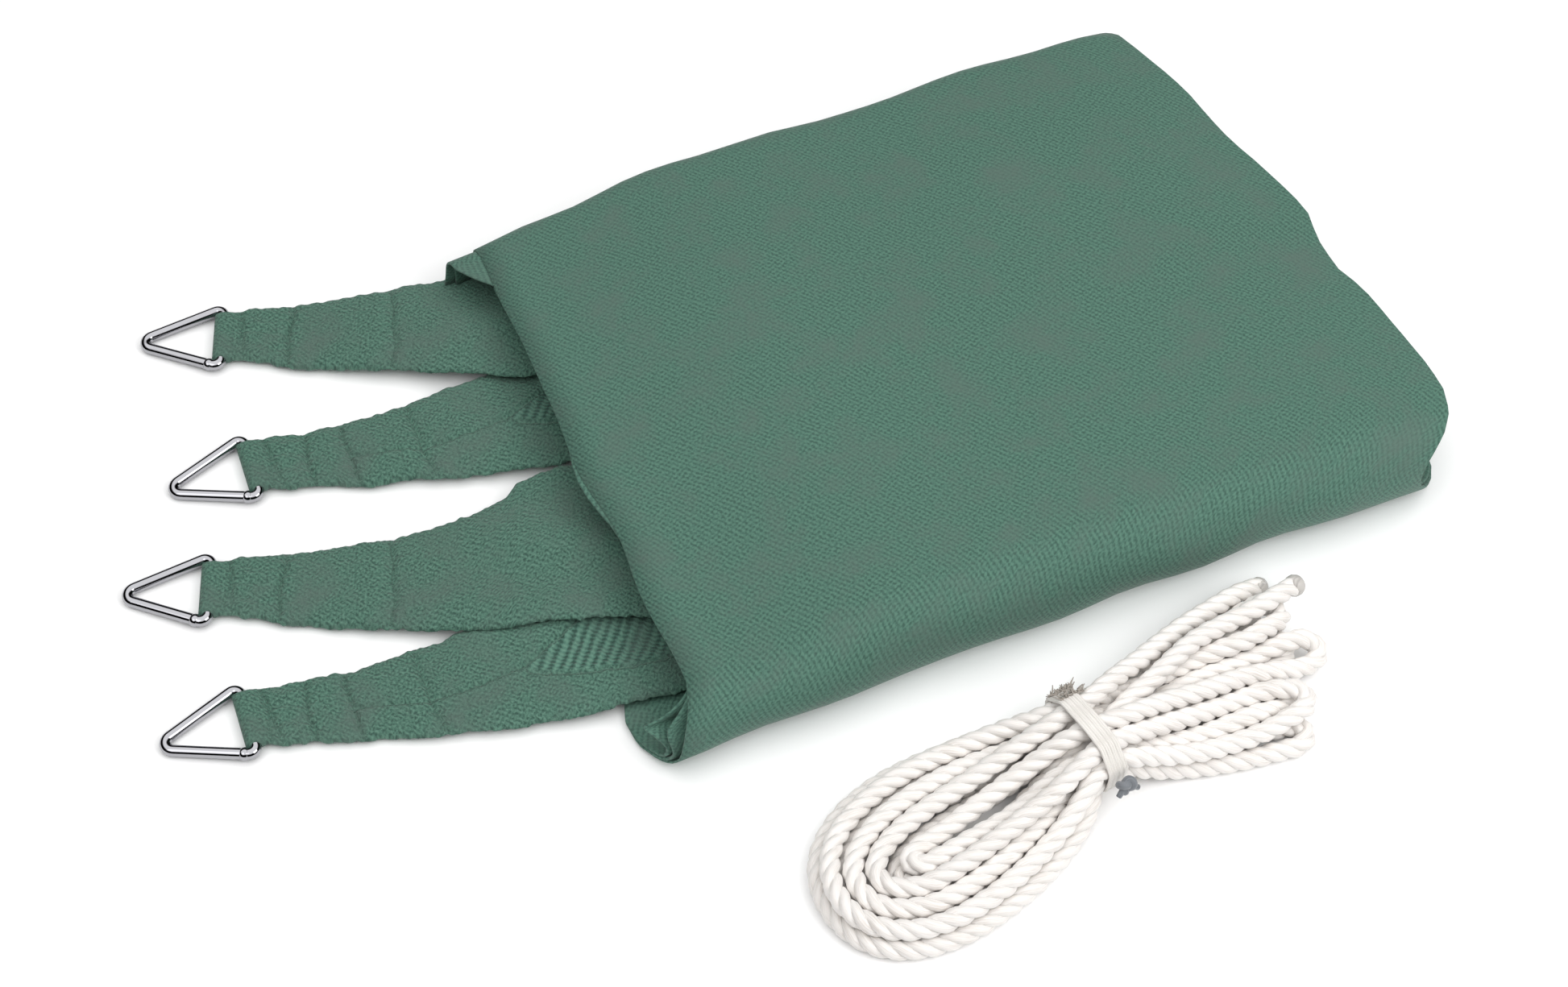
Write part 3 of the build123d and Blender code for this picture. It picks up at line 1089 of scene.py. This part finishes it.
@dataclass
class RopeHank:
    """A three-strand rope laid to and fro and tied at its waist.

    Attributes:
        diameter: The rope's, mm.
        lay: Length of one turn of its twist, mm.
        strand: Radius of a strand, as a share of the diameter.
        strand_offset: How far a strand's middle is from the rope's, as a share of the diameter.
        path_step: Steps along the rope, mm.
        spacing: Steps along it while it settles, mm.
        waist: Where each pass crosses the tie: sideways and up from its middle, mm.
        left: Each left loop's reach, sideways shift, half width and height.
        right: Each right loop's reach, heading in degrees, half width and height.
        ends: Where the two free ends lie: along, sideways, up.
        heading: Which way the hank points, degrees.
        tie_half: Half the length of the stretch that the tie holds, mm.
        tie_room: Room left for the tie's yarn, mm.
        rounds: Rounds of settling.
        stiffness: How strongly the rope straightens in each round.
        weight: How far it drops in each, mm.
        memory: How strongly it goes back to where it was laid in each.
        push: Share of an overlap that two turns give way in each.
        pull: Share of a stretch that it takes back in each.
    """

    diameter: float = 9.0
    lay: float = 22.0
    strand: float = 0.270
    strand_offset: float = 0.230
    path_step: float = 2.2
    spacing: float = 5.0
    waist: tuple = (
        (8.1, 10.6), (-8.1, 10.6), (-13.6, 5.2), (13.6, 5.2), (14.8, -1.8), (-14.8, -1.8),
        (-11.3, -8.2), (11.3, -8.2), (4.2, -12.1), (-4.2, -12.1), (-6.5, 1.6), (0.0, 12.6),
        (6.5, 1.6), (-4.0, -4.2), (4.0, -4.2), (0.0, 5.2),
    )
    left: tuple = (
        (115, -6, 14, 16), (129, -8, 31, 15), (129, -7, 35, 5), (122, -8, 27, 5), (113, -6, 19, 5),
        (101, -12, 7, 17), (122, -9, 22.5, 14), (105, -11, 10, 5),
    )
    right: tuple = (
        (102, -17, 8, 15), (121, 6, 8, 13), (95, -23, 9, 5), (115, 10, 8, 5), (101, -12, 8, 5),
        (125, -5, 8, 14), (117, 1, 8, 5),
    )
    ends: tuple = ((115.0, 29.0, 21.0), (128.0, 17.0, 30.0))
    heading: float = 10.4
    tie_half: float = 8.5
    tie_room: float = 1.8
    rounds: int = 150
    stiffness: float = 0.26
    weight: float = 0.14
    memory: float = 0.028
    push: float = 0.32
    pull: float = 0.8

    def __post_init__(self) -> None:
        """Takes the hank's place from the frame."""
        low, high = box_of("hank_tie")
        self.origin = (low + high) / 2
        heading = math.radians(self.heading)
        self.along = np.array([math.cos(heading), math.sin(heading), 0.0])
        self.aside = np.array([-math.sin(heading), math.cos(heading), 0.0])
        self.half_wide = (high[1] - low[1]) / 2 * math.cos(heading)

    def world(self, p: np.ndarray) -> np.ndarray:
        """Turns places along, across and up in the hank to places in the frame."""
        flat = np.array([self.origin[0], self.origin[1], 0.0])
        return flat + p[:, :1] * self.along + p[:, 1:2] * self.aside + p[:, 2:3] * np.array([0.0, 0.0, 1.0])

    def lobe(self, start: tuple, end: tuple, loop: tuple, side: int) -> np.ndarray:
        """One loop, from the waist and back to it.

        Args:
            start: Where the rope leaves the waist, sideways and up.
            end: Where it comes back.
            loop: The loop's reach, shift, half width and height.
            side: -1 to the left, 1 to the right.

        Returns:
            Points along, across and up.
        """
        reach, veer, half, height = loop
        a = np.linspace(0, math.pi, 60)
        middle = self.origin[2]
        out = np.sin(a)
        first = a < math.pi / 2
        stray = out ** (0.9 if side < 0 else 0.6)
        swing = math.copysign(half, start[0] - end[0]) * np.sign(np.cos(a)) * np.abs(np.sin(2 * a)) ** 0.75
        axis = veer * out ** 1.5 if side < 0 else reach * out * math.tan(math.radians(veer))
        across = np.where(first, start[0], end[0]) * (1 - stray) + axis + swing
        up = (middle + np.where(first, start[1], end[1])) * (1 - out ** 0.8) + height * out ** 0.8
        return np.stack([side * reach * out, across, up], -1)

    def laid(self) -> np.ndarray:
        """The rope's first route, before it settles."""
        parts = []
        passes = len(self.waist)
        middle = self.origin[2]
        for k in range(passes - 1):
            side = -1 if k % 2 == 0 else 1
            loop = self.left[k // 2] if side < 0 else self.right[k // 2]
            parts.append(self.lobe(self.waist[k], self.waist[k + 1], loop, side)[:-1])
        share = np.linspace(0, 1, 30)[:, None]
        tails = []
        for end, crossing in ((self.ends[0], self.waist[0]), (self.ends[1], self.waist[-1])):
            near = np.array([0.0, crossing[0], middle + crossing[1]])
            tail = near + (np.array(end) - near) * share
            tail[:, 1] += 3.0 * np.sin(share[:, 0] * math.pi)
            tails.append(tail)
        path = np.concatenate([tails[0][::-1][:-1], *parts, tails[1]])
        return evenly(path, int(run_along(path)[-1] / self.spacing) + 1)

    def settled(self) -> np.ndarray:
        """Lets the rope settle: its turns apart, none under the floor, the waist inside the tie."""
        p = self.laid()
        home = p.copy()
        rest = np.linalg.norm(np.diff(p, axis=0), axis=1).mean()
        count = np.arange(len(p))
        apart = np.abs(count[:, None] - count[None]) > 1.6 * self.diameter / rest
        tied = np.abs(p[:, 0]) < self.tie_half
        wide = self.half_wide - self.diameter / 2 - self.tie_room
        tall = self.origin[2] - self.tie_room - self.diameter / 2
        middle = self.origin[2]
        room = self.diameter * np.where(np.abs(p[:, 0]) < 16, 0.93, 1.0)
        room = np.minimum(room[:, None], room[None])
        for _ in range(self.rounds):
            bend = np.zeros_like(p)
            bend[1:-1] = (p[:-2] + p[2:]) / 2 - p[1:-1]
            bend[2:-2] += 0.3 * ((p[:-4] + p[4:]) / 2 - p[2:-2])
            p += self.stiffness * bend
            p[:, 2] -= self.weight
            p += self.memory * (home - p) * [1, 1, 0.2]
            for _ in range(2):
                gap = p[:, None] - p[None]
                far = np.sqrt((gap ** 2).sum(-1)) + 1e-6
                push = np.where(apart & (far < room), (room - far) / far, 0.0)
                p += self.push * (gap * push[..., None]).sum(1)
                p[:, 2] = np.maximum(p[:, 2], self.diameter / 2 + 0.2)
                off = np.hypot(p[:, 1] / wide, (p[:, 2] - middle) / tall)
                squeeze = np.where(tied & (off > 1), 1 / np.maximum(off, 1), 1.0)
                p[:, 1] *= squeeze
                p[:, 2] = middle + (p[:, 2] - middle) * squeeze
            step = np.diff(p, axis=0)
            length = np.linalg.norm(step, axis=1, keepdims=True)
            shift = 0.5 * step * (1 - rest / length)
            p[:-1] += shift * self.pull
            p[1:] -= shift * self.pull
        return p

    def route(self) -> np.ndarray:
        """The rope's smooth line, read from its spline, in metres."""
        control = self.world(self.settled()[::2]) * MM
        curve = bpy.data.curves.new("rope_line", "CURVE")
        curve.dimensions = "3D"
        spline = curve.splines.new("NURBS")
        spline.points.add(len(control) - 1)
        for point, place in zip(spline.points, control):
            point.co = (*place, 1.0)
        spline.order_u = 3
        spline.use_endpoint_u = True
        spline.resolution_u = 4
        guide = bpy.data.objects.new("rope_line", curve)
        bpy.context.scene.collection.objects.link(guide)
        bpy.context.view_layer.update()
        line = bpy.data.meshes.new_from_object(guide.evaluated_get(bpy.context.evaluated_depsgraph_get()))
        points = np.array([v.co[:] for v in line.vertices])
        bpy.data.objects.remove(guide)
        steps = np.linalg.norm(np.diff(points, axis=0), axis=1)
        return points[np.concatenate([[True], steps > 0.3 * MM])]

    def build(self) -> np.ndarray:
        """Returns:
            The rope's line, mm.
        """
        line = self.route()
        run = run_along(line / MM)[-1]
        path = evenly(line / MM, int(run / self.path_step))
        even = np.linspace(0, run, len(path))
        side, up = frames_along(path)
        strand, offset = self.strand * self.diameter, self.strand_offset * self.diameter
        parts = []
        for number in range(3):
            turn = (2 * math.pi * (even / self.lay + number / 3))[:, None]
            parts.append(tube(path + offset * (side * np.cos(turn) + up * np.sin(turn)), strand, 10))
        verts, faces, uv = merged(parts)
        verts[:, 2] = np.maximum(verts[:, 2], 0.05)
        made = build_mesh("hanging_rope", verts, faces, finish(Finish.ROPE), uv)
        caps = []
        for index, (end, inward) in enumerate(((path[0], path[3]), (path[-1], path[-4])), 1):
            way = (end - inward) / np.linalg.norm(end - inward)
            spots = np.array([-4.0, -2.5, -0.5, 1.2, 2.2, 2.6])
            radii = np.array([0.42, 0.50, 0.51, 0.43, 0.28, 0.06]) * self.diameter
            radii *= 1 + 0.04 * (-1) ** index
            cap = tube(end + spots[:, None] * way, radii, 18)
            caps.append(build_mesh(f"rope_end_{index}", cap[0], cap[1], finish(Finish.MELTED), cap[2]))
        for piece in (made, *caps):
            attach(piece, "rope")
        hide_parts("rope_hank")
        return path


@dataclass
class HankTie:
    """Yarn wound round the waist of the hank, knotted on its near side.

    Attributes:
        hank: The hank it ties.
        rope_path: The rope's line, mm.
        turns: Turns of yarn in the band.
        width: Width of the band, mm.
        yarn: Radius of the yarn, mm.
    """

    hank: RopeHank
    rope_path: np.ndarray
    turns: int = 8
    width: float = 9.0
    yarn: float = 0.75

    def girth(self) -> np.ndarray:
        """The tie's inner outline across the hank: the tight line round the rope's passes."""
        local = self.rope_path - [self.hank.origin[0], self.hank.origin[1], 0.0]
        along, across = local @ self.hank.along, local @ self.hank.aside
        at_waist = np.abs(along) < self.width / 2 + 1
        centres = np.stack([across[at_waist], local[at_waist][:, 2]], -1)
        turn = np.linspace(0, 2 * math.pi, 120, endpoint=False)
        normal = np.stack([np.cos(turn), np.sin(turn)], -1)
        support = (normal @ centres.T).max(1) + self.hank.diameter / 2 + 0.15
        slope = (np.roll(support, -1) - np.roll(support, 1)) / (turn[2] - turn[0])
        return support[:, None] * normal + slope[:, None] * np.stack([-normal[:, 1], normal[:, 0]], -1)

    def place(self, along: float, outline: np.ndarray) -> np.ndarray:
        """Puts an outline across the hank at a place along it, in the frame, mm."""
        local = np.stack([np.full(len(outline), along), outline[:, 0], outline[:, 1]], -1)
        return self.hank.world(local)

    def build(self) -> None:
        """Makes the wound yarn, the knot and the frayed end."""
        girth = self.girth()
        outward = girth - girth.mean(0)
        outward /= np.linalg.norm(outward, axis=1, keepdims=True)
        parts = []
        step = self.width / self.turns
        for number in range(self.turns):
            low = 0.25 * (number % 2)
            ring = girth + outward * (self.yarn * 0.75 - low)
            ring[:, 1] = np.maximum(ring[:, 1], self.yarn + 0.1)
            path = self.place(-self.width / 2 + step * (number + 0.5), ring)
            parts.append(tube(path, self.yarn, 8, closed=True))
        verts, faces, uv = merged(parts)
        band = build_mesh("tie_band", verts, faces, finish(Finish.TIE), uv)
        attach(band, "rope")
        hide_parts("hank_tie")
        self.build_knot()
        self.build_fray(girth)

    def build_knot(self) -> None:
        """Makes the knot: one thick yarn tied in an overhand knot, with two short tails."""
        low, high = box_of("tie_knot")
        centre = (low + high) / 2
        a = np.linspace(0, 2 * math.pi, 90, endpoint=False)
        knot = np.stack([
            np.sin(a) + 2 * np.sin(2 * a),
            np.cos(a) - 2 * np.cos(2 * a),
            -1.1 * np.sin(3 * a),
        ], -1)
        parts = [tube(centre + knot[:, [0, 2, 1]], 1.75, 10, closed=True)]
        for way, length in (((0.9, -0.2, -0.3), 3.6), ((-0.8, -0.4, -0.4), 3.2)):
            share = np.linspace(0, 1, 9)[:, None]
            tail = centre + np.array(way) * (2 + length * share) + [0, 0, -1.0] * share ** 2
            parts.append(tube(tail, 1.5 - 0.3 * share[:, 0], 9))
        verts, faces, uv = merged(parts)
        made = build_mesh("tie_knot_yarn", verts, faces, finish(Finish.KNOT), uv)
        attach(made, "rope")
        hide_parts("tie_knot")

    def build_fray(self, girth: np.ndarray) -> None:
        """Makes the frayed end of the yarn, on the far side of the band."""
        rng = np.random.default_rng(31)
        parts = []
        for _ in range(150):
            turn = math.radians(rng.uniform(22, 58))
            spot = girth[np.argmax(girth @ np.array([math.cos(turn), math.sin(turn)]))]
            outward = np.array([math.cos(turn), math.sin(turn)])
            start = self.place(rng.uniform(-2.5, 7.5), (spot + outward * rng.uniform(0.4, 2.0))[None])[0]
            way = self.hank.along * rng.uniform(-1.0, 1.0) + self.hank.aside * rng.uniform(-0.6, 0.8)
            way = way + np.array([0, 0, rng.uniform(-0.7, 0.4)])
            share = np.linspace(0, 1, 6)[:, None]
            fibre = start + way * share * rng.uniform(1.5, 4.0) + rng.uniform(-1, 1, 3) * share ** 2
            parts.append(tube(fibre, 0.5 - 0.3 * share[:, 0], 5))
        verts, faces, uv = merged(parts)
        made = build_mesh("tie_frayed_end", verts, faces, finish(Finish.FRAYED), uv)
        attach(made, "rope")


# ---------------------------------------------------------------- rings

@dataclass
class RingDress:
    """The chrome on a ring, and the butt weld where its wire closes.

    Attributes:
        number: Which ring it is, from the back.
        bar: The middle of its bar, mm.
        heading: Which way its corner runs, degrees.
        base: Length of its bar, mm.
        lean: How far its side runs back over half the bar, mm.
        wire: Radius of the wire, mm.
        weld_half: Half the length of the weld, mm.
        weld_swell: How far the weld swells past the wire, mm.
    """

    number: int
    bar: tuple
    heading: float
    base: float = 36.0
    lean: float = 40.0
    wire: float = 2.5
    weld_half: float = 1.6
    weld_swell: float = 0.42

    def build(self) -> None:
        """Dresses the ring and adds its weld."""
        ring = frame["nodes"][f"triangle_ring_{self.number}"]
        if not ring.material_slots:
            ring.data.materials.append(finish(Finish.WIRE))
        for slot in ring.material_slots:
            slot.material = finish(Finish.WIRE)
        h = math.radians(self.heading)
        along = np.array([-math.sin(h), math.cos(h), 0.0])
        back = np.array([math.cos(h), math.sin(h), 0.0])
        side = -back * self.lean + along * self.base / 2
        side /= np.linalg.norm(side)
        start = np.array(self.bar) - along * self.base / 2 - back * 5.2 + along * 2.2
        spots = np.linspace(-self.weld_half, self.weld_half, 9)
        radii = self.wire + self.weld_swell * np.cos(spots / self.weld_half * math.pi / 2)
        start[2] -= 0.24
        weld = tube(start + spots[:, None] * side, radii, 20)
        made = build_mesh(f"ring_weld_{self.number}", weld[0], weld[1], finish(Finish.WIRE), weld[2])
        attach(made, f"ring_{self.number}")


# ---------------------------------------------------------------- studio

@dataclass
class Studio:
    """A white floor, soft light and the camera.

    Attributes:
        azimuth: Which way the camera looks from, degrees.
        elevation: How high it looks from, degrees.
        distance: How far it is from its target, metres.
        target: What it looks at, metres.
        lens: Its focal length, mm.
        ambient: Strength of the light from all round.
        dome: Brightness of that light by height, from straight down to straight up.
    """

    azimuth: float = -22.35
    elevation: float = 51.4
    distance: float = 1.317
    target: tuple = (-0.100, -0.042, 0.02)
    lens: float = 70.0
    ambient: float = 1.55
    dome: tuple = ((0.0, "#000000"), (0.60, "#0c0c0c"), (0.74, "#ffffff"), (1.0, "#ffffff"))

    def build(self) -> None:
        """Sets the floor, the light and the camera."""
        floor_mesh = bpy.data.meshes.new("floor")
        floor_mesh.from_pydata([(-8, -8, 0), (8, -8, 0), (8, 8, 0), (-8, 8, 0)], [], [(0, 1, 2, 3)])
        paint = bpy.data.materials.new("floor_paint")
        paint.use_nodes = True
        shader = paint.node_tree.nodes["Principled BSDF"]
        shader.inputs["Base Color"].default_value = linear("#ffffff")
        shader.inputs["Roughness"].default_value = 0.9
        floor_mesh.materials.append(paint)
        floor = bpy.data.objects.new("floor", floor_mesh)
        bpy.context.scene.collection.objects.link(floor)
        world = bpy.data.worlds.new("studio")
        bpy.context.scene.world = world
        world.use_nodes = True
        tree = world.node_tree
        place = add(tree, "ShaderNodeTexCoord").outputs["Generated"]
        upward = add(tree, "ShaderNodeSeparateXYZ", Vector=place)
        dome = ramp(tree, upward.outputs["Z"], *self.dome)
        tree.links.new(dome, tree.nodes["Background"].inputs[0])
        tree.nodes["Background"].inputs[1].default_value = self.ambient
        self.lamp("key", (0.55, -0.95, 1.0), 0.9, 9.0)
        self.lamp("fill", (-1.3, -0.6, 1.6), 1.3, 5.0)
        bpy.context.scene.view_settings.view_transform = "Standard"
        self.camera()

    def lamp(self, name: str, place: tuple, size: float, power: float) -> None:
        """Adds a square area light that faces the pack.

        Args:
            name: Its name.
            place: Where it is, metres.
            size: Its side, metres.
            power: Its power, watts.
        """
        data = bpy.data.lights.new(name, "AREA")
        data.size = size
        data.energy = power
        made = bpy.data.objects.new(name, data)
        made.location = place
        made.rotation_euler = Vector(place).to_track_quat("Z", "Y").to_euler()
        bpy.context.scene.collection.objects.link(made)

    def camera(self) -> None:
        """Adds the camera."""
        data = bpy.data.cameras.new("camera")
        data.lens = self.lens
        data.sensor_width = 36.0
        made = bpy.data.objects.new("camera", data)
        a, e = math.radians(self.azimuth), math.radians(self.elevation)
        back = Vector((math.sin(a) * math.cos(e), -math.cos(a) * math.cos(e), math.sin(e)))
        made.location = Vector(self.target) + back * self.distance
        made.rotation_euler = back.to_track_quat("Z", "Y").to_euler()
        bpy.context.scene.collection.objects.link(made)
        bpy.context.scene.camera = made


# ---------------------------------------------------------------- the object

# Stations along a corner from its ring's bar, with its far and near half widths there, mm.
NECK = ((-4.5, 13.9, -13.9), (5.0, 14.3, -14.0))
UPPER_EDGES = (
    *NECK, (12.0, 16.5, -14.5), (20.0, 16.6, -16.5), (32.0, 17.0, -20.0), (58.0, 19.5, -24.0),
    (78.0, 21.5, -27.5), (100.0, 23.0, -32.0), (130.0, 27.0, -38.0), (260.0, 36.0, -40.0),
)
WIDE_EDGES = (
    *UPPER_EDGES[:-3], (100.0, 25.5, -30.0), (114.0, 31.5, -32.0), (127.0, 39.0, -32.5),
    (131.0, 45.0, -32.0), (150.0, 52.0, -31.0), (260.0, 54.0, -36.0),
)
LOWER_EDGES = (
    *NECK, (10.0, 13.6, -16.8), (24.0, 11.5, -19.5), (44.0, 10.0, -26.0), (64.0, 10.8, -31.5),
    (82.0, 12.0, -36.5), (105.0, 14.5, -41.0), (125.0, 15.5, -45.0), (260.0, 18.0, -52.0),
)
# Where the cross seams lie, and the line of each seam that runs along a corner.
UPPER_SEAMS = (31.0, 78.0)
LOWER_SEAMS = (25.0, 43.0, 74.0)
LONG_SEAMS = (
    (
        (40.0, -0.13), (71.0, -0.25), (91.0, -0.16), (114.0, 0.0), (128.0, 0.27), (146.0, 0.56),
        (180.0, 0.85), (260.0, 0.95),
    ),
    ((114.0, -0.10), (124.0, -0.22), (140.0, -0.38), (157.0, -0.47), (260.0, -0.47)),
)
# Each corner's number, heading in degrees, height at the mouth in mm, outline and seams.
CORNERS = (
    (1, -19.0, 14.0, UPPER_EDGES, UPPER_SEAMS, ()),
    (2, -3.0, 8.2, LOWER_EDGES, LOWER_SEAMS, LONG_SEAMS),
    (3, -19.0, 14.0, WIDE_EDGES, UPPER_SEAMS, ()),
    (4, -3.0, 8.2, LOWER_EDGES, LOWER_SEAMS, LONG_SEAMS),
)


def bar_of(number: int) -> tuple[float, float, float]:
    """The middle of a ring's bar, from the ring's joint, mm."""
    joint = next(j for j in frame["record"]["behaviour"]["joints"] if j["name"] == f"ring_{number}_swing")
    return tuple(float(c) / MM for c in joint["pos_m"])


def main() -> None:
    """Builds the object, piece by piece."""
    logging.basicConfig(level=logging.INFO)
    Studio().build()
    hank = RopeHank()
    HankTie(hank, hank.build()).build()
    log.info("hank done")
    FoldedSail().build()
    tree = stitch_tree()
    for number, heading, level, edges, seams, long_seams in CORNERS:
        corner = SewnCorner(number, bar_of(number), heading, level, edges, seams, long_seams)
        corner.build_tab()
        rows = sew(f"corner_stitches_{number}", corner.seam_lines(), tree, spacing=2.4, thread=0.26)
        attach(rows, "sail")
        RingDress(number, bar_of(number), heading).build()
        log.info("corner %d done", number)


if __name__ == "__main__":
    main()
